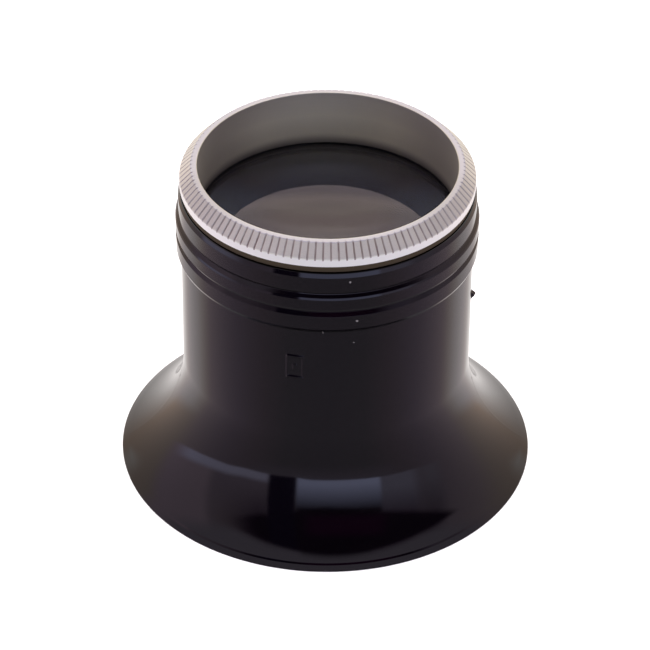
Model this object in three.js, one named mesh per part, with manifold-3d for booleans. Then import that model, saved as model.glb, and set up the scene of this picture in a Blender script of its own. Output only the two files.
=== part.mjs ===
// A watchmaker's eye loupe: a moulded eyecup, a biconvex lens and a knurled ring that screws
// into the top of the eyecup and holds the lens down on a shoulder inside it.
// Millimetres, +Z up. The origin is on the axis, at the flat rim that the loupe stands on.
import * as THREE from 'three';
import { mergeVertices } from 'three/addons/utils/BufferGeometryUtils.js';
import Module from 'manifold-3d';

const wasm = await Module();
wasm.setup();

// ---------- driving dimensions ----------
const RIM_R = 18;              // outside of the flared eye rim
const NECK_R = 12.4;           // outside of the neck
const WALL = 1.7;              // moulded wall
const FLARE_ARC = 11.53;       // radius of the concave sweep from the neck to the eye rim
const FLARE_END_R = 17.42;     // where the sweep ends, above the lip
const FLARE_END_Z = 0.48;

// Outside of the lip below the sweep: a small step, a thin sloping band and the edge of the foot.
// Radius and height of every edge, from the foot up.
const LIP = [
  [RIM_R - 0.08, 0],
  [RIM_R, 0.05],
  [RIM_R - 0.05, 0.1],
  [17.54, 0.36],
];

const COLLAR_TOP = 27.06;
const GLASS_R = 11.35;         // lens
const GLASS_SPHERE = 58;       // radius of both faces
const GLASS_EDGE = 2.2;        // thickness at the edge
const GLASS_EDGE_TOP = 24.2;   // height of the upper edge
const SEAT_GAP = 0.06;         // lens to its seat, and lens to the ring
const POCKET_R = 11.6;         // pocket that the lens lies in

const PITCH = 0.75;            // right-hand thread
const THREAD_R = 11.75;        // crest of the ring's thread
const THREAD_DEPTH = 0.35;
const THREAD_CREST = 0.12;     // width of the flat crest
const THREAD_GAP = 0.12;       // radial play between the two threads
const THREAD_RUNOUT = 0.35;    // height over which a thread fades into its wall
const MOUTH_CHAMFER = 0.12;
const FLANK = Math.tan(Math.PI / 6);
const ROOT_SINK = 0.1;         // how far a thread ridge is sunk into the wall that carries it

const RING_BORE = 10.95;
const RING_R = 12.45;
const RING_TOP = 29.5;
const RING_LAND = 0.38;        // width of the flat top of the ring
const RING_CONE = 1.0;         // height of the knurled cone
const HEAD_BOTTOM = 27.7;      // underside of the ring's head
const SHOULDER_R = 12.3;       // short plain shoulder under the head
const SHOULDER_BOTTOM = 27.12;
const KNURLS = 120;
const KNURL_DEPTH = 0.14;
const KNURL_WIDTH = 0.24;
const KNURL_OVERRUN = 0.4;     // how far a notch cutter runs past each end of the cone

// The collar has three bands, each a little narrower than the one below it, with a sloping ledge
// between them: radius and height of every edge, from the neck up to the mouth.
const COLLAR = [
  [NECK_R, 21.15],
  [12.66, 21.38],
  [12.76, 21.46],
  [12.82, 21.66],
  [12.84, 22.97],
  [12.61, 23.3],
  [12.64, 23.42],
  [12.79, 23.5],
  [12.84, 23.66],
  [12.85, 24.6],
  [12.76, 24.8],
  [12.54, 25.03],
  [12.52, 25.09],
  [12.56, 25.15],
  [12.6, 25.3],
  [12.6, 26.68],
  [12.44, 27.03],
  [12.38, COLLAR_TOP],
];

const BODY_SIDES = 56;
const RING_SIDES = 56;
const GLASS_SIDES = 56;

const rad = THREE.MathUtils.degToRad;
const BORE_R = NECK_R - WALL;  // bore of the barrel below the lens
const glassSag = (r) => GLASS_SPHERE - Math.sqrt(GLASS_SPHERE ** 2 - r ** 2);
const glassTop = (r) => GLASS_EDGE_TOP + glassSag(GLASS_R) - glassSag(r);
const glassBottom = (r) => 2 * GLASS_EDGE_TOP - GLASS_EDGE - glassTop(r);

// ---------- helpers ----------
const lathe = (profile, sides) => {
  const geometry = new THREE.LatheGeometry(profile.map(([r, z]) => new THREE.Vector2(r, z)), sides);
  return geometry.rotateX(Math.PI / 2);
};

// Points on an arc of a profile, from one angle to another, in degrees.
const arc = (r, z, radius, from, to, steps) => {
  const points = [];
  for (let i = 0; i <= steps; i += 1) {
    const angle = rad(from + ((to - from) * i) / steps);
    points.push([r + radius * Math.cos(angle), z + radius * Math.sin(angle)]);
  }
  return points;
};

const solid = (geometry) => {
  const bare = geometry.clone();
  bare.deleteAttribute('normal');
  bare.deleteAttribute('uv');
  const merged = mergeVertices(bare, 1e-4);
  return new wasm.Manifold(new wasm.Mesh({
    numProp: 3,
    vertProperties: new Float32Array(merged.attributes.position.array),
    triVerts: new Uint32Array(merged.index.array),
  }));
};

const geometryOf = (shape) => {
  const mesh = shape.getMesh();
  const geometry = new THREE.BufferGeometry();
  geometry.setAttribute('position', new THREE.BufferAttribute(mesh.vertProperties, 3));
  geometry.setIndex(new THREE.BufferAttribute(mesh.triVerts, 1));
  geometry.computeVertexNormals();
  return geometry;
};

// A ridge of the given section (radius, height) wound into a right-hand helix about Z. It covers
// the heights from bottom to top, and crosses +X at whole pitches above the origin.
const helix = (section, bottom, top, sides) => {
  const start = Math.ceil(top / PITCH + 1) * PITCH;
  const turns = Math.ceil((start - bottom) / PITCH + 1);
  const shape = new THREE.Shape(section.map(([r, z]) => new THREE.Vector2(r, z)));
  const geometry = new THREE.ExtrudeGeometry(shape, {
    depth: turns,
    steps: turns * sides,
    bevelEnabled: false,
  });
  const position = geometry.attributes.position;
  for (let i = 0; i < position.count; i += 1) {
    const turn = -position.getZ(i);
    const radius = position.getX(i);
    const angle = turn * 2 * Math.PI;
    const height = position.getY(i) + start + turn * PITCH;
    position.setXYZ(i, radius * Math.cos(angle), radius * Math.sin(angle), height);
  }
  return solid(geometry);
};

// ---------- eyecup ----------
const makeEyecup = () => {
  const arcCentreR = NECK_R + FLARE_ARC;
  const endAngle = Math.acos((arcCentreR - FLARE_END_R) / FLARE_ARC);
  const arcCentreZ = FLARE_END_Z + FLARE_ARC * Math.sin(endAngle);
  const seat = glassBottom(BORE_R) - SEAT_GAP;
  const threadRootR = THREAD_R + THREAD_GAP;
  const reliefBottom = GLASS_EDGE_TOP + 0.05;
  const threadBottom = reliefBottom + 0.55;
  const footAngle = THREE.MathUtils.radToDeg(Math.asin(arcCentreZ / (FLARE_ARC + WALL)));
  const footR = arcCentreR - (FLARE_ARC + WALL) * Math.cos(rad(footAngle));

  const outside = [
    ...LIP,
    ...arc(arcCentreR, arcCentreZ, FLARE_ARC, 180 + THREE.MathUtils.radToDeg(endAngle), 180, 10),
    ...COLLAR,
  ];
  const inside = [
    [threadRootR + MOUTH_CHAMFER, COLLAR_TOP],
    [threadRootR, COLLAR_TOP - MOUTH_CHAMFER],
    [threadRootR, reliefBottom],
    [POCKET_R, reliefBottom - 0.2],
    [POCKET_R, seat],
    [BORE_R, seat],
    ...arc(arcCentreR, arcCentreZ, FLARE_ARC + WALL, 180, 180 + footAngle - 2.5, 6),
    [footR + 0.1, 0.12],
    [footR + 0.4, 0],
  ];
  const profile = [...outside, ...inside];
  const shell = solid(lathe([...profile, profile[0]], BODY_SIDES));

  const crest = threadRootR - THREAD_DEPTH;
  const half = THREAD_CREST / 2;
  const spread = half + (THREAD_DEPTH + ROOT_SINK) * FLANK;
  const ridge = helix(
    [
      [crest, PITCH / 2 + half],
      [crest, PITCH / 2 - half],
      [threadRootR + ROOT_SINK, PITCH / 2 - spread],
      [threadRootR + ROOT_SINK, PITCH / 2 + spread],
    ].reverse(),
    threadBottom,
    COLLAR_TOP,
    BODY_SIDES,
  );
  const threadZone = solid(lathe([
    [crest - 0.2, threadBottom],
    [threadRootR + 0.2, threadBottom],
    [threadRootR + 0.2, COLLAR_TOP - MOUTH_CHAMFER],
    [threadRootR, COLLAR_TOP - MOUTH_CHAMFER],
    [crest - 0.2, COLLAR_TOP - THREAD_RUNOUT],
    [crest - 0.2, threadBottom],
  ], BODY_SIDES));
  return geometryOf(shell.add(ridge.intersect(threadZone)));
};

// ---------- lens ----------
const makeLens = () => {
  const rings = 6;
  const upper = [];
  const lower = [];
  for (let i = 0; i <= rings; i += 1) {
    const r = (GLASS_R * i) / rings;
    upper.push([r, glassTop(r)]);
    lower.push([r, glassBottom(r)]);
  }
  return lathe([...lower, ...upper.reverse()], GLASS_SIDES);
};

// ---------- ring ----------
const makeRing = () => {
  const bottom = glassTop(RING_BORE) + SEAT_GAP;
  const rootR = THREAD_R - THREAD_DEPTH;
  const landR = RING_BORE + RING_LAND;
  const bandTop = RING_TOP - RING_CONE;
  const profile = [
    [RING_BORE, bottom + 0.1],
    [RING_BORE + 0.1, bottom],
    [rootR - 0.1, bottom],
    [rootR, bottom + 0.1],
    [rootR, SHOULDER_BOTTOM - 0.1],
    [rootR + 0.1, SHOULDER_BOTTOM],
    [SHOULDER_R, SHOULDER_BOTTOM],
    [SHOULDER_R, HEAD_BOTTOM],
    [RING_R - 0.08, HEAD_BOTTOM],
    [RING_R, HEAD_BOTTOM + 0.08],
    [RING_R, bandTop],
    [landR, RING_TOP],
    [RING_BORE + 0.06, RING_TOP],
    [RING_BORE, RING_TOP - 0.06],
  ];
  const blank = solid(lathe([...profile, profile[0]], RING_SIDES));

  const half = THREAD_CREST / 2;
  const spread = half + (THREAD_DEPTH + ROOT_SINK) * FLANK;
  const ridge = helix(
    [[rootR - ROOT_SINK, -spread], [THREAD_R, -half], [THREAD_R, half], [rootR - ROOT_SINK, spread]],
    bottom,
    SHOULDER_BOTTOM,
    RING_SIDES,
  );
  const threadZone = solid(lathe([
    [rootR - 0.2, bottom + 0.02],
    [rootR, bottom + 0.02],
    [THREAD_R + 0.1, bottom + 0.4],
    [THREAD_R + 0.1, SHOULDER_BOTTOM - 0.5],
    [rootR, SHOULDER_BOTTOM - 0.15],
    [rootR - 0.2, SHOULDER_BOTTOM - 0.15],
    [rootR - 0.2, bottom + 0.02],
  ], RING_SIDES));

  // V notches down the cone, each a three-sided bar that comes out below in the upright band
  const coneRun = RING_R - landR;
  const slope = Math.atan2(RING_CONE, coneRun);
  const notch = new THREE.Shape();
  notch.moveTo(0, -KNURL_DEPTH);
  notch.lineTo(KNURL_WIDTH, KNURL_DEPTH);
  notch.lineTo(-KNURL_WIDTH, KNURL_DEPTH);
  const length = Math.hypot(coneRun, RING_CONE);
  const bar = new THREE.ExtrudeGeometry(notch, {
    depth: length + 2 * KNURL_OVERRUN,
    bevelEnabled: false,
  });
  bar.translate(0, 0, -KNURL_OVERRUN);
  bar.rotateY(Math.PI / 2);
  bar.rotateX(Math.PI / 2);
  bar.rotateY(slope);
  bar.translate(landR, 0, RING_TOP);
  let notches = null;
  for (let i = 0; i < KNURLS; i += 1) {
    const turned = solid(bar.clone().rotateZ(((i + 0.5) * 2 * Math.PI) / KNURLS));
    notches = notches === null ? turned : notches.add(turned);
  }
  return geometryOf(blank.add(ridge.intersect(threadZone)).subtract(notches));
};

// ---------- assembly ----------
const blackPlastic = new THREE.MeshStandardMaterial({ color: 0x0c0b0d, roughness: 0.12, metalness: 0 });
const aluminium = new THREE.MeshStandardMaterial({ color: 0xc9c5c6, roughness: 0.38, metalness: 1 });
const glass = new THREE.MeshStandardMaterial({
  color: 0xf4f7f6,
  roughness: 0.02,
  metalness: 0,
  transparent: true,
  opacity: 0.35,
});

const piece = (name, geometry, material) => {
  const mesh = new THREE.Mesh(geometry, material);
  mesh.name = name;
  return mesh;
};

const loupe = new THREE.Group();
loupe.add(piece('eyecup_body', makeEyecup(), blackPlastic));
loupe.add(piece('lens', makeLens(), glass));
loupe.add(piece('lens_ring', makeRing(), aluminium));

export default loupe;
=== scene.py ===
"""Looks of the eye loupe: a gloss black eyecup, a glass lens and a knurled aluminium ring."""

import math
import random

import bmesh
import bpy
import numpy as np
from mathutils import Matrix, Vector


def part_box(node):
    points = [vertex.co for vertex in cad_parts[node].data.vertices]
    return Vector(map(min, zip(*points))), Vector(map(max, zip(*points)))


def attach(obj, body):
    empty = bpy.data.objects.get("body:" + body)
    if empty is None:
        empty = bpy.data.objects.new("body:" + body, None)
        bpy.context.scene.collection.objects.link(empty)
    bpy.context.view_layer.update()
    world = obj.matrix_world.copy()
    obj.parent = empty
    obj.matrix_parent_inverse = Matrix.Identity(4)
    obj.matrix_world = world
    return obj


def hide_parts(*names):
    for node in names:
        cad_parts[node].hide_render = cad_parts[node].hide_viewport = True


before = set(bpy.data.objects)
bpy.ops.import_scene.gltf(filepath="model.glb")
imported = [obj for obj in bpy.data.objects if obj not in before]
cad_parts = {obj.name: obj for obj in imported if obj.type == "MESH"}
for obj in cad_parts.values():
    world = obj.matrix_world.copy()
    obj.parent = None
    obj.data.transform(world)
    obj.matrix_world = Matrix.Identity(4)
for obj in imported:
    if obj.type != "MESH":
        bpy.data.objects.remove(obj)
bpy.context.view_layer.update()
MM = 0.001
MICRON = 1e-6
TURN = 2 * math.pi
SEED = 11

# ---------- dimensions, in millimetres ----------
# from the CAD
RIM_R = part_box("eyecup_body")[1].x / MM
COLLAR_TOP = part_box("eyecup_body")[1].z / MM
GLASS_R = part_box("lens")[1].x / MM
RING_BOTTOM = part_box("lens_ring")[0].z / MM
RING_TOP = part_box("lens_ring")[1].z / MM

# eyecup: the neck, the flare, the lip at its end, and the seat of the lens
NECK_R = 12.4
WALL = 1.7
FLARE_ARC = 11.53
FLARE_END_R = 17.42
FLARE_END_Z = 0.48
LIP_R = RIM_R - 0.05
LIP_Z = 0.1
LIP_STEP = (17.53, 0.345, 0.03)
FOOT_FLAT = 0.9
POCKET_R = 11.6
SEAT_GAP = 0.06
# rows are close together between these two heights, for the mark and the gate stub
NECK_FINE = (15.2, 19.4)
# the wall is plainly round above this height
SMOOTH_ABOVE = 20.3

# lens
GLASS_SPHERE = 58.0
GLASS_EDGE = 2.2
GLASS_EDGE_TOP = 24.2
GLASS_BEVEL = 0.09

# threads; a wall is plain for PLAIN_END beyond the thread on it
PITCH = 0.75
THREAD_R = 11.75
THREAD_DEPTH = 0.35
THREAD_CREST = 0.12
THREAD_GAP = 0.12
THREAD_FADE = 0.3
PLAIN_END = 0.2
SLEEVE_END = 0.12
FLANK = math.tan(math.pi / 6)

# ring: its land is a little wider than in the CAD
RING_R = 12.45
RING_BORE = 10.95
BORE_EDGE_R = 11.14
LAND_R = 11.47
CONE = 1.0
BAND_TOP = 28.4
HEAD_BOTTOM = 27.7
SHOULDER_R = 12.3
SHOULDER_BOTTOM = 27.12
KNURLS = 120
KNURL_R = 12
KNURL_DEPTH = 0.11
KNURL_HALF = 0.1

ARC_R = NECK_R + FLARE_ARC
FLARE_END = math.acos((ARC_R - FLARE_END_R) / FLARE_ARC)
ARC_Z = FLARE_END_Z + FLARE_ARC * math.sin(FLARE_END)
BORE_R = NECK_R - WALL

# the three bands of the collar from the neck upwards: radius, height, corner radius
COLLAR = [
    (NECK_R, 20.4),
    (NECK_R, 21.12, 0.08),
    (12.66, 21.38, 0.03),
    (12.72, 21.43, 0.02),
    (12.82, 21.68, 0.03),
    (12.84, 22.97, 0.03),
    (12.61, 23.3, 0.02),
    (12.64, 23.42, 0.02),
    (12.79, 23.5, 0.04),
    (12.84, 23.66, 0.06),
    (12.85, 24.64, 0.04),
    (12.77, 24.81, 0.03),
    (12.54, 25.03, 0.03),
    (12.52, 25.09, 0.02),
    (12.56, 25.15, 0.03),
    (12.6, 25.3, 0.05),
    (12.6, 26.68, 0.06),
    (12.44, 27.03, 0.04),
    (12.37, COLLAR_TOP, 0.03),
]


# ---------- mesh helpers ----------
def arc(r, z, radius, start, end, steps):
    """Points on an arc of a profile, angles in radians, both ends included."""
    found = []
    for i in range(steps + 1):
        a = start + (end - start) * i / steps
        found.append((r + radius * math.cos(a), z + radius * math.sin(a)))
    return found


def rounded(corners, steps=5):
    """A profile line through corners (r, z, radius), each corner cut by an arc of its radius.

    A short straight piece stays on both sides of every arc, so that flat faces shade flat."""
    line = []
    for i, corner in enumerate(corners):
        point = Vector(corner[:2])
        radius = corner[2] if len(corner) > 2 else 0
        if radius == 0 or i in (0, len(corners) - 1):
            line.append(tuple(point))
            continue
        back = (Vector(corners[i - 1][:2]) - point).normalized()
        ahead = (Vector(corners[i + 1][:2]) - point).normalized()
        half = back.angle(ahead) / 2
        reach = radius / math.tan(half)
        centre = point + (back + ahead).normalized() * (radius / math.sin(half))
        first, last = point + back * reach, point + ahead * reach
        a0 = math.atan2(first.y - centre.y, first.x - centre.x)
        a1 = math.atan2(last.y - centre.y, last.x - centre.x)
        turn = (a1 - a0 + math.pi) % TURN - math.pi
        guard = min(0.35 * radius, 0.03)
        line.append(tuple(first + back * guard))
        line += arc(centre.x, centre.y, radius, a0, a0 + turn, steps)
        line.append(tuple(last + ahead * guard))
    return line


def divided(line, longest):
    """The same line with extra points, so that no piece is longer than the given length."""
    found = [line[0]]
    for (r0, z0), (r1, z1) in zip(line, line[1:]):
        count = max(1, math.ceil(math.hypot(r1 - r0, z1 - z0) / longest))
        for k in range(1, count + 1):
            found.append((r0 + (r1 - r0) * k / count, z0 + (z1 - z0) * k / count))
    return found


class Shell:
    """Collects rows of points round the Z axis and the faces between them."""

    def __init__(self):
        self.points = []
        self.faces = []
        self.marks = []

    def ring(self, angles, r, z):
        """One row of points. r and z are numbers, or arrays with one value an angle."""
        start = len(self.points)
        r = np.broadcast_to(r, angles.shape)
        z = np.broadcast_to(z, angles.shape)
        for a, radius, height in zip(angles, r, z):
            self.points.append((radius * math.cos(a), radius * math.sin(a), height))
        return list(range(start, len(self.points)))

    def strip(self, rows, mark=0, closed=True):
        """Faces between each row and the next. mark is the number of their material."""
        for low, high in zip(rows, rows[1:]):
            count = len(low)
            for i in range(count if closed else count - 1):
                j = (i + 1) % count
                self.faces.append((low[i], low[j], high[j], high[i]))
                self.marks.append(mark)

    def revolve(self, line, angles, mark=0, shape=None):
        """Rows along a profile line. shape(angles, r, z) may move each row's radius."""
        rows = []
        for r, z in line:
            radius = np.full(angles.shape, r)
            if shape is not None:
                radius = radius + shape(angles, r, z)
            rows.append(self.ring(angles, radius, z))
        self.strip(rows, mark)
        return rows

    def thread(self, angles, root, height, centre, low, high, mark=0):
        """A right-hand helical ridge on a wall of radius root between two heights.

        The rows of points climb one pitch a turn and are cut off at low and high."""
        half = THREAD_CREST / 2
        foot = half + abs(height) * FLANK
        # rows across one pitch, closer at the foot and the crest of the ridge
        steps = [-0.375, -0.31, -foot - 0.012, -foot + 0.015, -0.16, -half - 0.02, -half + 0.01]
        steps += [0.0] + [-s for s in reversed(steps[1:])]
        around = np.append(angles, angles[0] + TURN)
        turns = np.arange(math.floor(low / PITCH) - 2, math.ceil(high / PITCH) + 2)
        rows = []
        for n in turns:
            for step in steps:
                z = n * PITCH + centre + step + PITCH * around / TURN
                ridge = np.clip(1 - (abs(step) - half) / (foot - half), 0, 1)
                fade = np.clip(np.minimum(z - low, high - z) / THREAD_FADE, 0, 1)
                r = root + height * ridge * fade * fade * (3 - 2 * fade)
                rows.append(self.ring(around, r, np.clip(z, low, high)))
        self.strip(rows, mark, closed=False)

    def build(self, name, materials):
        """The mesh object, welded, with its faces turned outwards."""
        mesh = bpy.data.meshes.new(name)
        scaled = [(x * MM, y * MM, z * MM) for x, y, z in self.points]
        mesh.from_pydata(scaled, [], self.faces)
        mesh.polygons.foreach_set("material_index", self.marks)
        work = bmesh.new()
        work.from_mesh(mesh)
        bmesh.ops.remove_doubles(work, verts=work.verts, dist=2e-7)
        bmesh.ops.dissolve_degenerate(work, edges=work.edges, dist=1e-7)
        bmesh.ops.recalc_face_normals(work, faces=work.faces)
        for face in work.faces:
            face.smooth = True
        if work.calc_volume(signed=True) < 0:
            bmesh.ops.reverse_faces(work, faces=work.faces)
        work.to_mesh(mesh)
        work.free()
        for material in materials:
            mesh.materials.append(material)
        made = bpy.data.objects.new(name, mesh)
        bpy.context.scene.collection.objects.link(made)
        return made


def bump(values, centre, half, soft):
    """1 within half of the centre, falling smoothly to 0 over soft."""
    t = np.clip((half + soft - np.abs(values - centre)) / soft, 0, 1)
    return t * t * (3 - 2 * t)


# ---------- node helpers ----------
class Nodes:
    """Short calls for building a node tree."""

    def __init__(self, tree):
        self.tree = tree
        tree.nodes.clear()

    def add(self, kind, **settings):
        node = self.tree.nodes.new("ShaderNode" + kind)
        for key, value in settings.items():
            setattr(node, key, value)
        return node

    def put(self, node, key, value):
        if isinstance(value, bpy.types.NodeSocket):
            self.tree.links.new(value, node.inputs[key])
        else:
            node.inputs[key].default_value = value

    def math(self, operation, *values):
        node = self.add("Math", operation=operation)
        for i, value in enumerate(values):
            self.put(node, i, value)
        return node.outputs[0]

    def both(self, a, b):
        return self.math("MULTIPLY", a, b)

    def map_range(self, kind, *values):
        node = self.add("MapRange", interpolation_type=kind)
        for key, value in enumerate(values):
            self.put(node, key, value)
        return node.outputs[0]

    def smooth(self, value, start, end, low=0.0, high=1.0):
        """From low at start to high at end, level beyond them. start may be above end."""
        return self.map_range("SMOOTHSTEP", value, start, end, low, high)

    def linear(self, value, start, end, low=0.0, high=1.0):
        return self.map_range("LINEAR", value, start, end, low, high)

    def step(self, length, start, end, low=0.0, high=1.0):
        """smooth for a length in metres, with its limits in millimetres."""
        return self.smooth(length, start * MM, end * MM, low, high)

    def span(self, value, start, end, soft):
        """1 between start and end, 0 outside, with soft edges."""
        return self.both(self.smooth(value, start - soft, start + soft),
                         self.smooth(value, end + soft, end - soft))

    def mix(self, factor, a, b):
        node = self.add("Mix", data_type="RGBA")
        self.put(node, 0, factor)
        for key, value in ((6, a), (7, b)):
            self.put(node, key, (*value, 1) if isinstance(value, tuple) else value)
        return node.outputs[2]

    def ramp(self, factor, stops):
        node = self.add("ValToRGB")
        self.put(node, 0, factor)
        while len(node.color_ramp.elements) < len(stops):
            node.color_ramp.elements.new(0.5)
        for element, (position, colour) in zip(node.color_ramp.elements, stops):
            element.position = position
            element.color = (*colour, 1)
        return node.outputs[0]

    def noise(self, vector, scale, detail, rough, seed):
        node = self.add("TexNoise", noise_dimensions="4D")
        self.put(node, "Vector", vector)
        self.put(node, "W", seed)
        self.put(node, "Scale", scale)
        self.put(node, "Detail", detail)
        self.put(node, "Roughness", rough)
        return node.outputs[0]

    def bump(self, height, strength, distance, normal=None):
        node = self.add("Bump")
        self.put(node, "Strength", strength)
        self.put(node, "Distance", distance)
        self.put(node, "Height", height)
        if normal is not None:
            self.put(node, "Normal", normal)
        return node.outputs[0]


def material(name):
    """A new material with its node helper, its shader and the object coordinates."""
    made = bpy.data.materials.new(name)
    made.use_nodes = True
    nodes = Nodes(made.node_tree)
    out = nodes.add("OutputMaterial")
    shader = nodes.add("BsdfPrincipled")
    made.node_tree.links.new(shader.outputs[0], out.inputs[0])
    place = nodes.add("TexCoord").outputs["Object"]
    return made, nodes, shader, place


def around_axis(nodes, place):
    """Radius, angle and height of a point, in metres and radians."""
    split = nodes.add("SeparateXYZ")
    nodes.put(split, 0, place)
    x, y, z = split.outputs
    radius = nodes.math("SQRT", nodes.math("ADD", nodes.both(x, x), nodes.both(y, y)))
    return radius, nodes.math("ARCTAN2", y, x), z


def joined(nodes, x, y, z):
    node = nodes.add("CombineXYZ")
    for i, value in enumerate((x, y, z)):
        nodes.put(node, i, value)
    return node.outputs[0]


# ---------- materials ----------
# single dust specks on the front: degrees from the middle, wall radius, height, speck radius
SPECKS = [
    (8.7, 12.6, 26.25, 0.1),
    (11.2, 12.83, 22.45, 0.12),
    (-1.3, NECK_R, 21.05, 0.065),
    (10.5, NECK_R, 19.95, 0.06),
]


def black_plastic():
    made, n, shader, place = material("black_plastic")
    cloud = n.noise(place, 260, 3, 0.55, 1.0)
    fine = n.noise(place, 5200, 2, 0.6, 2.0)
    smear = n.noise(place, 90, 4, 0.6, 3.0)

    # dust: a few pale specks of different sizes, and the single ones
    cells = n.add("TexVoronoi", feature="F1")
    n.put(cells, "Vector", place)
    n.put(cells, "Scale", 420)
    chance = n.add("SeparateColor")
    n.put(chance, 0, cells.outputs["Color"])
    share = n.math("GREATER_THAN", chance.outputs[0], 0.93)
    size = n.linear(chance.outputs[1], 0, 1, 0.012, 0.032)
    speck = n.math("LESS_THAN", cells.outputs["Distance"], size)
    dust = n.both(speck, share)
    ragged = n.noise(place, 6000, 1, 0.5, 2.5)
    wobble = n.both(n.math("SUBTRACT", ragged, 0.5), 120 * MICRON)
    for turned, wall, height, radius in SPECKS:
        a = math.radians(turned - 90)
        apart = n.add("VectorMath", operation="DISTANCE")
        n.put(apart, 0, place)
        n.put(apart, 1, (wall * MM * math.cos(a), wall * MM * math.sin(a), height * MM))
        edge = n.math("ADD", apart.outputs[1], wobble)
        dust = n.math("MAXIMUM", dust, n.step(edge, radius, 0.6 * radius))

    base = n.mix(cloud, (0.0014, 0.0011, 0.0015), (0.0026, 0.0021, 0.0026))
    n.put(shader, "Base Color", n.mix(dust, base, (0.20, 0.19, 0.19)))
    gloss = n.linear(smear, 0.35, 0.75, 0.035, 0.075)
    gloss = n.math("ADD", gloss, n.both(fine, 0.012))
    n.put(shader, "Roughness", n.math("MAXIMUM", gloss, n.both(dust, 0.8)))
    shader.inputs["IOR"].default_value = 1.5
    wave = n.bump(cloud, 0.12, 30 * MICRON)
    n.put(shader, "Normal", n.bump(fine, 0.05, 4 * MICRON, wave))
    return made


def black_inside():
    made, n, shader, place = material("black_inside")
    grain = n.noise(place, 2500, 2, 0.6, 11.0)
    n.put(shader, "Base Color", n.mix(grain, (0.009, 0.008, 0.009), (0.014, 0.013, 0.014)))
    n.put(shader, "Roughness", n.linear(grain, 0.3, 0.7, 0.55, 0.7))
    shader.inputs["Specular IOR Level"].default_value = 0.0
    return made


def aluminium():
    made, n, shader, place = material("ring_aluminium")
    radius, angle, height = around_axis(n, place)
    # lathe marks: noise drawn out round the axis
    lathe = joined(n, n.both(radius, 30000.0), n.both(height, 30000.0), n.both(angle, 2.2))
    marks = n.noise(lathe, 1.0, 2, 0.6, 4.0)
    grain = n.noise(place, 14000, 2, 0.7, 5.0)
    cloud = n.noise(place, 420, 3, 0.6, 6.0)
    stain = n.noise(place, 150, 2, 0.5, 7.0)
    bore = n.step(radius, 11.04, 11.00)
    outside = n.math("SUBTRACT", 1.0, bore)
    sideways = n.math("ABSOLUTE", n.math("COSINE", angle))
    forward = n.both(n.math("SINE", angle), -1.0)

    tone = n.mix(cloud, (0.78, 0.785, 0.70), (0.93, 0.93, 0.85))
    tone = n.mix(n.smooth(stain, 0.55, 0.8, 0, 0.35), tone, (0.80, 0.81, 0.73))
    spots = n.both(n.smooth(grain, 0.52, 0.8, 0, 0.5), outside)
    tone = n.mix(spots, tone, (0.62, 0.62, 0.60))
    # the bore is smoother and a little warmer; painted light makes it darker at the top and paler
    # lower down
    depth = n.linear(height, 29.4 * MM, 27.2 * MM)
    tone = n.mix(n.both(bore, n.step(height, 29.46, 29.4)), tone,
                 n.mix(depth, (0.70, 0.68, 0.56), (0.99, 0.975, 0.80)))
    # the plain band and the land mostly hide the knurl's spots and stains; painted light makes the
    # band paler than the knurl
    band = n.both(n.step(height, BAND_TOP + 0.05, BAND_TOP - 0.05, 0, 0.85), outside)
    tone = n.mix(band, tone, (0.98, 0.99, 0.985))
    # painted shade: the land on top is darker and bluer
    land = n.both(n.step(height, 29.42, 29.48, 0, 0.9), outside)
    tone = n.mix(land, tone, (0.63, 0.645, 0.715))
    # painted shade: the cone is darker to both sides of the front, and the bore darker at its
    # sides, for how light falls there
    side_shade = n.both(n.smooth(sideways, 0.5, 0.85, 0, 0.45), n.smooth(forward, 0.02, 0.3))
    above_band = n.step(height, BAND_TOP - 0.1, BAND_TOP + 0.1)
    tone = n.mix(n.both(side_shade, n.both(outside, above_band)), tone, (0.52, 0.52, 0.52))
    # painted shade: the bore is darker at its sides
    tone = n.mix(n.both(n.smooth(sideways, 0.45, 0.95, 0, 0.8), bore), tone, (0.56, 0.55, 0.475))
    # painted shade: the bore is darker towards the lens, and the shoulder in the gap under the head
    # is dark; the grooves of the knurl are darker and browner
    tone = n.mix(n.both(bore, n.step(height, 25.4, 24.3, 0, 0.8)), tone, (0.20, 0.19, 0.17))
    turns = n.math("FRACT", n.math("ADD", n.both(angle, KNURLS / TURN), KNURLS))
    off = n.math("ABSOLUTE", n.math("SUBTRACT", turns, 0.5))
    groove = n.both(n.smooth(off, 0.17, 0.04), n.step(radius, LAND_R - 0.09, LAND_R + 0.01))
    groove = n.both(groove, n.step(height, BAND_TOP - 0.12, BAND_TOP - 0.04))
    # the grooves of the knurl are darker and browner, less so at the sides
    groove_darkness = n.linear(n.noise(place, 900, 2, 0.6, 7.5), 0.35, 0.7, 0.55, 0.9)
    groove_darkness = n.both(groove_darkness, n.smooth(sideways, 0.6, 0.95, 1, 0.35))
    tone = n.mix(n.both(groove, groove_darkness), tone, (0.38, 0.30, 0.27))
    # painted shade: the shoulder in the gap under the head is dark
    under_head_shade = n.both(n.step(height, HEAD_BOTTOM + 0.01, HEAD_BOTTOM - 0.01), n.step(radius, 11.8, 11.9))
    tone = n.mix(under_head_shade, tone, (0.10, 0.08, 0.055))

    n.put(shader, "Base Color", tone)
    shader.inputs["Metallic"].default_value = 1.0
    rough = n.linear(marks, 0.3, 0.7, 0.54, 0.66)
    n.put(shader, "Roughness", n.math("ADD", rough, n.both(grain, 0.08)))
    strength = n.both(outside, 0.25)
    ridges = n.bump(marks, strength, 6 * MICRON)
    n.put(shader, "Normal", n.bump(grain, strength, 6 * MICRON, ridges))
    return made


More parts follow.
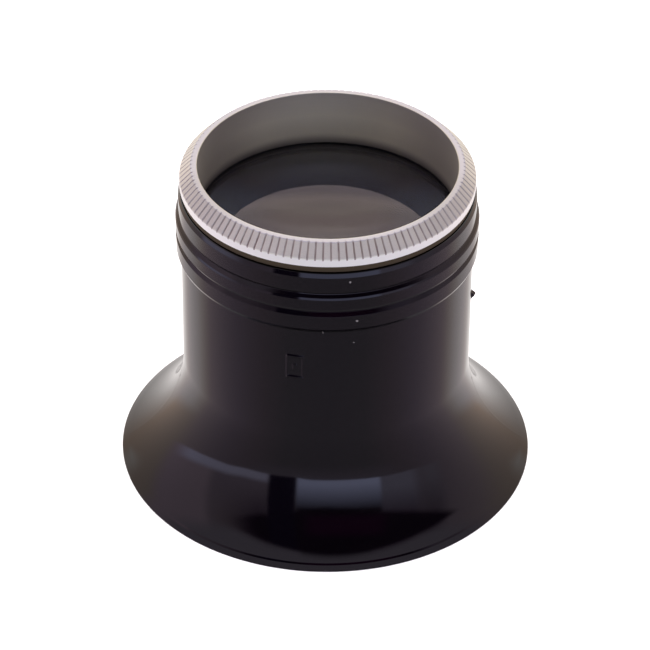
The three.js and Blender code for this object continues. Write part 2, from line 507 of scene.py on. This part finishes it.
def glass():
    made, n, shader, place = material("lens_glass")
    smear = n.noise(place, 160, 4, 0.6, 8.0)
    # painted shade and painted reflection: the glass is tinted dark and blue, and its reflections
    # are tinted blue
    n.put(shader, "Base Color", n.mix(smear, (0.55, 0.58, 0.70), (0.53, 0.56, 0.68)))
    shader.inputs["Roughness"].default_value = 0.0
    shader.inputs["IOR"].default_value = 1.45
    shader.inputs["Specular Tint"].default_value = (0.36, 0.37, 0.54, 1)
    shader.inputs["Transmission Weight"].default_value = 1.0
    return made


def ground_edge():
    made, n, shader, place = material("lens_edge")
    grain = n.noise(place, 9000, 2, 0.6, 10.0)
    n.put(shader, "Base Color", n.mix(grain, (0.008, 0.008, 0.008), (0.03, 0.029, 0.028)))
    n.put(shader, "Roughness", n.linear(grain, 0.3, 0.7, 0.45, 0.7))
    n.put(shader, "Normal", n.bump(grain, 0.3, 6 * MICRON))
    return made


# ---------- eyecup ----------
MARK_TURN = math.radians(-90 - 12)
MARK_Z = 17.35
# level bars and posts: how far they are from the middle, and how far they stand out
MARK_BARS = (1.07, 0.1)
MARK_POSTS = (0.67, 0.045)
# half width and half height
MARK_DOT = (0.16, 0.22)
GATE_Z = 16.1
GATE_STUB = 0.24
DIMPLE_Z = 7.05
DIMPLE_R = 12.86
DIMPLE_DEEP = 0.06
PARTING_LINE = 0.012


def eyecup_angles():
    """240 directions, with closer ones at the mark, the gate stub and the parting line."""
    spots = [(MARK_TURN, 6.5, 0.22), (0.0, 2.6, 0.22), (math.pi, 1.3, 0.22)]
    found = {round(math.degrees(TURN * i / 240), 3) for i in range(240)}
    for centre, reach, step in spots:
        middle = math.degrees(centre) % 360
        count = int(reach / step)
        near = {round((middle + k * step) % 360, 3) for k in range(-count, count + 1)}
        far = {d for d in found if abs((d - middle + 180) % 360 - 180) > reach + step / 2}
        found = far | near
    return np.radians(np.array(sorted(found)))


def from_middle(angles, centre):
    """Signed angles from the centre, between half a turn back and half a turn on."""
    return (angles - centre + math.pi) % TURN - math.pi


def eyecup_shape(angles, r, z):
    """How far the outside of the neck and flare stands off its round profile."""
    moved = np.zeros(angles.shape)
    # small raised mark: a plain upright frame with a square dot in it
    across = from_middle(angles, MARK_TURN) * NECK_R
    up = z - MARK_Z
    tall, bars_out = MARK_BARS
    wide, posts_out = MARK_POSTS
    if abs(up) < tall + 0.3:
        bars = bump(abs(up), tall, 0.05, 0.12) * bump(across, 0, wide + 0.01, 0.1)
        posts = bump(np.abs(across), wide, 0.05, 0.08) * bump(up, 0, tall - 0.02, 0.1)
        dot = bump(across, 0, MARK_DOT[0], 0.08) * bump(up, 0, MARK_DOT[1], 0.08)
        moved += np.maximum(bars_out * bars, posts_out * np.maximum(posts, dot))
    # the step above the lip runs out to both sides
    if LIP_Z < z < FLARE_END_Z:
        straight = LIP_R - (z - LIP_Z) / (FLARE_END_Z - LIP_Z) * (LIP_R - FLARE_END_R)
        front = np.degrees(np.abs(from_middle(angles, -math.pi / 2)))
        moved += max(straight - r, 0) * (1 - bump(front, 0, 36, 24))
    # gate stub, broken off on the +X side
    side = from_middle(angles, 0) * NECK_R
    up = z - GATE_Z
    if abs(up) < 0.6:
        stub = bump(side, 0, 0.16, 0.16) * bump(up, 0.02, 0.26, 0.2)
        tip = GATE_STUB + 0.12 * np.sin(9 * up + 1.2) + 0.05 * np.sin(14 * side)
        moved += stub * tip
    # two ejector dimples, and a faint parting line down both sides
    for turned in (0.0, math.pi):
        side = from_middle(angles, turned) * DIMPLE_R
        away = (side / 0.14) ** 2 + ((z - DIMPLE_Z) / 0.16) ** 2
        moved -= DIMPLE_DEEP * np.clip(1 - away, 0, 1)
        moved += PARTING_LINE * bump(side, 0, 0.02, 0.05) * min(max((17.6 - r) / 0.5, 0), 1)
    return moved


def make_eyecup():
    angles = eyecup_angles()
    seat = GLASS_EDGE_TOP - GLASS_EDGE - (sag(GLASS_R) - sag(BORE_R)) - SEAT_GAP
    root = THREAD_R + THREAD_GAP
    relief = GLASS_EDGE_TOP + 0.05
    thread_low, thread_high = relief + PLAIN_END, COLLAR_TOP - PLAIN_END
    foot_angle = math.asin(ARC_Z / (FLARE_ARC + WALL))
    foot_r = ARC_R - (FLARE_ARC + WALL) * math.cos(foot_angle)

    sweep = arc(ARC_R, ARC_Z, FLARE_ARC, math.pi + FLARE_END - 0.012, math.pi, 84)
    dimple = math.pi + math.asin((ARC_Z - DIMPLE_Z) / FLARE_ARC)
    fine = arc(ARC_R, ARC_Z, FLARE_ARC, dimple + 0.02, dimple - 0.02, 12)
    flare = [p for p in sweep if p[1] < fine[0][1] - 0.03]
    flare += fine + [p for p in sweep if p[1] > fine[-1][1] + 0.03]
    outside = rounded([
        (foot_r + FOOT_FLAT, 0),
        (RIM_R - 0.08, 0, 0.02),
        (RIM_R, 0.05, 0.03),
        (LIP_R, LIP_Z, 0.05),
        LIP_STEP,
        (FLARE_END_R, FLARE_END_Z, 0.02),
        flare[0],
    ])
    collar = rounded(COLLAR + [
        (root + 0.16, COLLAR_TOP, 0.03),
        (root, COLLAR_TOP - 0.12, 0.03),
        (root, thread_high),
    ])
    low, high = NECK_FINE
    neck = [(NECK_R, ARC_Z + (low - ARC_Z) * k / 14) for k in range(1, 15)]
    neck += [(NECK_R, low + (high - low) * k / 120) for k in range(1, 121)]
    outer = divided(outside[:-1], 0.4) + flare + neck + collar

    inside = rounded([
        (root, thread_low),
        (root, relief, 0.03),
        (POCKET_R, relief - 0.2, 0.04),
        (POCKET_R, seat, 0.06),
        (BORE_R, seat, 0.1),
        (BORE_R, ARC_Z + 0.02),
    ])
    inner_flare = arc(ARC_R, ARC_Z, FLARE_ARC + WALL, math.pi, math.pi + foot_angle - 0.035, 40)
    foot = rounded([inner_flare[-1], (foot_r + 0.2, 0, 0.16), (foot_r + FOOT_FLAT, 0)])
    inner = divided(inside, 0.6) + inner_flare[1:] + foot[1:-1]

    shell = Shell()
    split = next(i for i, p in enumerate(outer) if p[1] > SMOOTH_ABOVE)
    rows = shell.revolve(outer[:split], angles, shape=eyecup_shape)
    rows += shell.revolve(outer[split:], angles)
    shell.strip([rows[split - 1], rows[split]])
    lower = shell.revolve(inner, angles, mark=1)
    shell.strip([lower[-1], rows[0]])
    shell.thread(angles, root, -THREAD_DEPTH, PITCH / 2, thread_low, thread_high, mark=1)
    return shell


# ---------- lens ----------
def sag(r):
    """How far the face of the lens has fallen at radius r."""
    return GLASS_SPHERE - math.sqrt(GLASS_SPHERE ** 2 - r ** 2)


def make_lens():
    angles = TURN * np.arange(160) / 160
    face = [GLASS_R * (i / 36) for i in range(1, 36)] + [GLASS_R - GLASS_BEVEL]
    centre = GLASS_EDGE_TOP + sag(GLASS_R)
    twice_middle = 2 * GLASS_EDGE_TOP - GLASS_EDGE
    top = [(r, centre - sag(r)) for r in face]
    bottom = [(r, twice_middle - z) for r, z in top]
    edge = rounded([
        bottom[-1],
        (GLASS_R, GLASS_EDGE_TOP - GLASS_EDGE + GLASS_BEVEL, 0.02),
        (GLASS_R, GLASS_EDGE_TOP - GLASS_BEVEL, 0.02),
        top[-1],
    ])
    edge = divided(edge, 0.5)
    shell = Shell()
    rows = shell.revolve(bottom, angles)
    edge_rows = [rows[-1]] + shell.revolve(edge[1:-1], angles, mark=1)
    shell.strip(edge_rows[:2], mark=1)
    upper = shell.revolve(list(reversed(top)), angles)
    shell.strip([edge_rows[-1], upper[0]], mark=1)
    for row, z in ((rows[0], twice_middle - centre), (upper[-1], centre)):
        shell.points.append((0, 0, z))
        pole = len(shell.points) - 1
        for i in range(len(row)):
            shell.faces.append((row[i], row[(i + 1) % len(row)], pole))
            shell.marks.append(0)
    return shell


# ---------- ring ----------
def make_ring():
    chance = random.Random(SEED)
    period = TURN / KNURLS
    # points across one knurl, in millimetres from the middle of its groove
    offsets = [-0.314, -0.22, -0.15, -0.127, -0.1, -0.06, -0.02]
    offsets += [-x for x in reversed(offsets[1:])]
    offsets = [x / KNURL_R for x in offsets]
    angles, across, deep, drop = [], [], [], []
    for i in range(KNURLS):
        slip = chance.uniform(-0.012, 0.012)
        depth = KNURL_DEPTH * chance.uniform(0.82, 1.12)
        low = chance.uniform(-0.03, 0.03)
        for x in offsets:
            angles.append((i + 0.5) * period + x + (slip / KNURL_R if abs(x) < 0.025 else 0))
            across.append(abs(x) * KNURL_R)
            deep.append(depth)
            drop.append(low)
    angles, across = np.array(angles), np.array(across)
    deep, drop = np.array(deep), np.array(drop)
    run = (RING_R - LAND_R) / CONE
    groove = math.hypot(run, 1) * deep * np.clip(1 - across / KNURL_HALF, 0, 1)

    def head_radius(z):
        """Band below, cone above, with grooves that end a little higher or lower."""
        cone = LAND_R + (RING_TOP - z) * run - groove - drop * np.clip((28.7 - z) / 0.3, 0, 1)
        soft = 0.05
        h = np.clip(0.5 + 0.5 * (RING_R - cone) / soft, 0, 1)
        return RING_R * (1 - h) + cone * h - soft * h * (1 - h)

    # rows are close together where the grooves run out into the band
    heights = [28.0, 28.16]
    heights += [28.2 + 0.022 * k for k in range(17)]
    heights += [28.6 + 0.1 * k for k in range(9)] + [29.44]
    shell = Shell()
    rows = []
    for r, z in rounded([(12.36, HEAD_BOTTOM), (RING_R, HEAD_BOTTOM, 0.05), (RING_R, 27.95)], 4):
        rows.append(shell.ring(angles, r, z))
    for z in heights:
        rows.append(shell.ring(angles, head_radius(z), z))
    for inset, z in ((0.012, RING_TOP - 0.022), (0.03, RING_TOP - 0.006), (0.045, RING_TOP)):
        rows.append(shell.ring(angles, LAND_R + (RING_TOP - z) * run - groove - inset, z))
    rows.append(shell.ring(angles, BORE_EDGE_R, RING_TOP))
    shell.strip(rows)

    share = len(offsets)
    half = share // 2
    coarse = np.stack([angles[::share], angles[half::share]], 1).ravel()
    land = rounded([(BORE_EDGE_R - 0.02, RING_TOP), (RING_BORE, RING_TOP, 0.05),
                    (RING_BORE, RING_TOP - 0.3)], 4)
    bore = divided([land[-1], (RING_BORE, RING_BOTTOM + 0.2)], 0.25)
    root = THREAD_R - THREAD_DEPTH
    thread_low, thread_high = RING_BOTTOM + SLEEVE_END, SHOULDER_BOTTOM - PLAIN_END
    tail = rounded([bore[-1], (RING_BORE, RING_BOTTOM, 0.06), (root, RING_BOTTOM, 0.06),
                    (root, thread_low)], 4)
    inner = land + bore[1:] + tail[1:]
    under = rounded([(root, thread_high), (root, SHOULDER_BOTTOM, 0.05),
                     (SHOULDER_R, SHOULDER_BOTTOM, 0.03), (SHOULDER_R, HEAD_BOTTOM, 0.03),
                     (12.345, HEAD_BOTTOM)], 4)
    lower = shell.revolve(inner, coarse)
    upper = shell.revolve(under, coarse)
    shell.thread(coarse, root, THREAD_DEPTH, 0.0, thread_low, thread_high)

    # the coarse rows join the fine rows of the head in wide faces
    for row, fine in ((lower[0], rows[-1]), (upper[-1], rows[0])):
        count = len(fine)
        for i in range(len(row)):
            start = (i // 2) * share + (half if i % 2 else 0)
            steps = share - half if i % 2 else half
            outer = [fine[(start + k) % count] for k in range(steps + 1)]
            shell.faces.append(tuple([row[(i + 1) % len(row)], row[i]] + outer))
            shell.marks.append(0)
    return shell


# ---------- pieces ----------
eyecup = make_eyecup().build("eyecup", [black_plastic(), black_inside()])
lens = make_lens().build("lens_glass_piece", [glass(), ground_edge()])
ring = make_ring().build("knurled_ring", [aluminium()])
for piece, node, body, slot in (
    (eyecup, "eyecup_body", "eyecup", "black_plastic"),
    (lens, "lens", "lens", "lens_glass"),
    (ring, "lens_ring", "ring", "ring_aluminium"),
):
    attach(piece, body)
    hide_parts(node)


# ---------- floor ----------
FLOOR_HALF = 3.0


def make_floor():
    """A white table that is clear from below, and is not seen in reflections."""
    corners = [(x * FLOOR_HALF, y * FLOOR_HALF, 0) for x, y in ((-1, -1), (1, -1), (1, 1), (-1, 1))]
    mesh = bpy.data.meshes.new("floor")
    mesh.from_pydata(corners, [], [(0, 1, 2, 3)])
    floor = bpy.data.objects.new("floor", mesh)
    bpy.context.scene.collection.objects.link(floor)
    made, n, shader, place = material("floor_white")
    grain = n.noise(place, 30, 2, 0.5, 12.0)
    n.put(shader, "Base Color", n.mix(grain, (0.86, 0.86, 0.86), (0.88, 0.88, 0.88)))
    shader.inputs["Roughness"].default_value = 0.9
    shader.inputs["Specular IOR Level"].default_value = 0.0
    clear = n.add("BsdfTransparent")
    side = n.add("NewGeometry")
    pick = n.add("MixShader")
    n.put(pick, 0, side.outputs["Backfacing"])
    made.node_tree.links.new(shader.outputs[0], pick.inputs[1])
    made.node_tree.links.new(clear.outputs[0], pick.inputs[2])
    out = next(x for x in made.node_tree.nodes if x.type == "OUTPUT_MATERIAL")
    made.node_tree.links.new(pick.outputs[0], out.inputs[0])
    mesh.materials.append(made)
    floor.visible_glossy = False
    return floor


floor = make_floor()


# ---------- surroundings ----------
# the walls all round: degrees from the camera side, colour
WALLS = [
    (0, (0.25, 0.22, 0.27)),
    (30, (0.26, 0.23, 0.275)),
    (50, (0.34, 0.27, 0.33)),
    (75, (0.44, 0.35, 0.45)),
    (90, (0.54, 0.43, 0.52)),
    (105, (0.64, 0.51, 0.57)),
    (118, (0.75, 0.60, 0.55)),
    (140, (0.90, 0.69, 0.57)),
    (148, (1.02, 0.90, 0.84)),
    (157, (1.14, 1.07, 1.04)),
    (180, (1.08, 1.03, 1.02)),
]
# the wall and ceiling behind the loupe: share of the way up, colour
CEILING = [
    (0.0, (1.6, 1.3, 1.2)),
    (0.11, (2.45, 1.95, 1.6)),
    (0.24, (1.9, 1.5, 1.2)),
    (0.42, (1.95, 1.5, 1.18)),
    (0.62, (2.9, 2.4, 1.65)),
    (1.0, (1.3, 1.15, 1.05)),
]
TABLE_EDGE = 1.1
DARK_SILL = 24.5
DARK_TOP = 62.6
DARK_MIDDLE = 6.0


def make_world():
    """A room with soft windows low in front, seen only in reflections.

    turn is in degrees from the camera side, positive to the right; rise is above level."""
    world = bpy.data.worlds.new("studio")
    bpy.context.scene.world = world
    world.use_nodes = True
    n = Nodes(world.node_tree)
    split = n.add("SeparateXYZ")
    n.put(split, 0, n.add("TexCoord").outputs["Generated"])
    x, y, z = split.outputs
    degree = 180 / math.pi
    turn = n.both(n.math("ARCTAN2", x, n.both(y, -1.0)), degree)
    rise = n.both(n.math("ARCSINE", z), degree)
    away = n.math("ABSOLUTE", turn)
    both, span = n.both, n.span

    # heights are counted from the far edge of the table, which drops a little to the sides
    drop = both(n.math("MAXIMUM", n.math("SUBTRACT", away, 40.0), 0.0), 0.06)
    drop = n.math("ADD", drop, both(span(turn, -62, -16, 8), 1.3))
    high = n.math("ADD", n.math("SUBTRACT", rise, TABLE_EDGE), drop)
    shelf = n.smooth(high, -0.9, 0.9)

    walls = [(degrees / 180, tint) for degrees, tint in WALLS]
    colour = n.ramp(n.math("DIVIDE", away, 180.0), walls)
    # the shaded table close under the loupe, and a glow on the table near the window
    colour = n.mix(n.smooth(rise, -44, -58), colour, (0.24, 0.23, 0.25))
    table_glow = both(n.smooth(rise, -13, 1), n.smooth(away, 60, 40))
    colour = n.mix(both(table_glow, 0.7), colour, (0.42, 0.35, 0.47))
    # behind the loupe: pale corners, the wall and ceiling, and the bright table
    corners = both(span(rise, 16, 50, 4), span(away, 132, 158, 8))
    colour = n.mix(corners, colour, (1.27, 1.27, 1.26))
    back = both(n.smooth(rise, 18, 30), n.smooth(away, 140, 155))
    back = both(back, n.smooth(away, 147, 168))
    colour = n.mix(back, colour, n.ramp(n.linear(rise, 30, 54), CEILING))
    low_back = both(span(rise, -51, -25, 5), span(away, 116, 150, 12))
    colour = n.mix(low_back, colour, (0.93, 0.84, 0.85))
    # side walls: pale to the left, then the dimmer walls to both sides of the window
    colour = n.mix(both(shelf, span(turn, -114, -78, 6)), colour, (0.74, 0.57, 0.71))
    left = n.mix(n.linear(turn, -73, -44), (0.46, 0.36, 0.44), (0.09, 0.05, 0.10))
    left = n.mix(n.linear(rise, 10, 38), (0.48, 0.38, 0.50), left)
    colour = n.mix(both(shelf, span(turn, -76, -36, 7)), colour, left)
    right = n.mix(n.linear(rise, 10, 34), (0.66, 0.61, 0.83), (0.16, 0.10, 0.17))
    colour = n.mix(both(shelf, span(turn, 34, 64, 7)), colour, right)
    beside = n.mix(n.linear(rise, 8, 34), (0.51, 0.45, 0.58), (0.18, 0.13, 0.19))
    colour = n.mix(both(both(shelf, span(turn, 66, 80, 6)), 0.8), colour, beside)
    # a low strip of window to the left, and the window in front
    strip = both(n.smooth(turn, -114, -97), n.smooth(turn, -35, -41))
    strip = both(both(strip, n.smooth(high, 9, 4)), shelf)
    colour = n.mix(strip, colour, (1.08, 1.02, 1.43))
    pane = n.mix(n.linear(rise, 26.5, 5), (0.05, 0.035, 0.06), (1.36, 1.43, 2.15))
    colour = n.mix(both(shelf, span(turn, -19, 37.5, 2)), colour, pane)
    # the ceiling in front, the dark space below it between two curved edges, the dark stand
    aside = n.math("POWER", n.math("SUBTRACT", turn, DARK_MIDDLE), 2.0)
    top = n.math("SUBTRACT", DARK_TOP, both(aside, 0.0042))
    below_top = n.math("SUBTRACT", top, rise)
    slant = n.math("ADD", both(away, 0.16), both(turn, -0.04))
    over_sill = n.math("SUBTRACT", n.math("SUBTRACT", rise, DARK_SILL), slant)
    upper = both(both(n.smooth(below_top, 3, -7), n.smooth(away, 150, 112)),
                 n.smooth(rise, 38, 50))
    colour = n.mix(upper, colour, (0.50, 0.44, 0.55))
    glow = both(both(span(turn, -12, 40, 6), span(rise, 31, 47, 4)), 0.6)
    dark = n.mix(glow, (0.022, 0.008, 0.03), (0.09, 0.003, 0.075))
    below = n.smooth(below_top, -3, 2)
    opening = both(both(below, n.smooth(turn, -67, -43)), n.smooth(over_sill, -3, 3))
    colour = n.mix(opening, colour, dark)
    stand = both(both(span(turn, -38, -19.5, 1.5), below), shelf)
    colour = n.mix(stand, colour, (0.02, 0.009, 0.045))

    background = n.add("Background")
    n.put(background, 0, colour)
    white = n.add("Background")
    n.put(white, 0, (1, 1, 1, 1))
    pick = n.add("MixShader")
    n.put(pick, 0, n.add("LightPath").outputs["Is Camera Ray"])
    world.node_tree.links.new(background.outputs[0], pick.inputs[1])
    world.node_tree.links.new(white.outputs[0], pick.inputs[2])
    out = n.add("OutputWorld")
    world.node_tree.links.new(pick.outputs[0], out.inputs[0])


def soft_light(name, place, aim, size, radiance, receivers, colour=(1, 1, 1)):
    """An area light that only lights some pieces and isn't seen itself.

    It is a disk where its width and depth are the same, and a rectangle otherwise."""
    width, depth = size
    disk = width == depth
    data = bpy.data.lights.new(name, "AREA")
    data.shape = "DISK" if disk else "RECTANGLE"
    data.size = width
    data.size_y = depth
    data.energy = radiance * math.pi * width * depth * (math.pi / 4 if disk else 1)
    data.color = colour
    light = bpy.data.objects.new(name, data)
    bpy.context.scene.collection.objects.link(light)
    light.location = place
    direction = Vector(aim) - Vector(place)
    light.rotation_mode = "QUATERNION"
    light.rotation_quaternion = direction.to_track_quat("-Z", "Y")
    light.visible_camera = False
    group = bpy.data.collections.new(name + "_on")
    for piece in receivers:
        group.objects.link(piece)
    light.light_linking.receiver_collection = group


make_world()
HEAD = (0, 0, 0.029)
WARM = (1.0, 0.99, 0.93)
soft_light("overhead", (0, 0, 1.0), (0, 0, 0), (1.4, 1.4), 4.0, [floor])
soft_light("table_bounce", (0, -0.03, 0.0007), (0, -0.03, 1), (0.34, 0.34), 0.5, [ring], WARM)
soft_light("front_fill", (0, -0.42, 0.45), HEAD, (0.5, 0.4), 0.3, [ring], (1.0, 0.99, 0.9))
soft_light("sky_fill", (0, 0.08, 0.6), HEAD, (0.8, 0.8), 0.25, [ring], WARM)

# ---------- camera ----------
AIM_Z = 0.012665
DISTANCE = 0.288
TILT = math.radians(36.5965)
ROLL = math.radians(0.5)
SENSOR = 36.0
FOCAL_PIXELS = 3325.5
FRAME_PIXELS = 650
SIDE = -0.00012

camera_data = bpy.data.cameras.new("camera")
camera_data.sensor_width = SENSOR
camera_data.lens = FOCAL_PIXELS / FRAME_PIXELS * SENSOR
camera_data.clip_start = 0.01
camera = bpy.data.objects.new("camera", camera_data)
bpy.context.scene.collection.objects.link(camera)
camera.rotation_mode = "QUATERNION"
aim = Vector((SIDE, 0, AIM_Z))
camera.location = aim + DISTANCE * Vector((0, -math.cos(TILT), math.sin(TILT)))
look = (aim - camera.location).to_track_quat("-Z", "Y")
camera.rotation_quaternion = look @ Matrix.Rotation(ROLL, 4, "Z").to_quaternion()
bpy.context.scene.camera = camera
bpy.context.scene.view_settings.view_transform = "Standard"

bpy.context.view_layer.update()
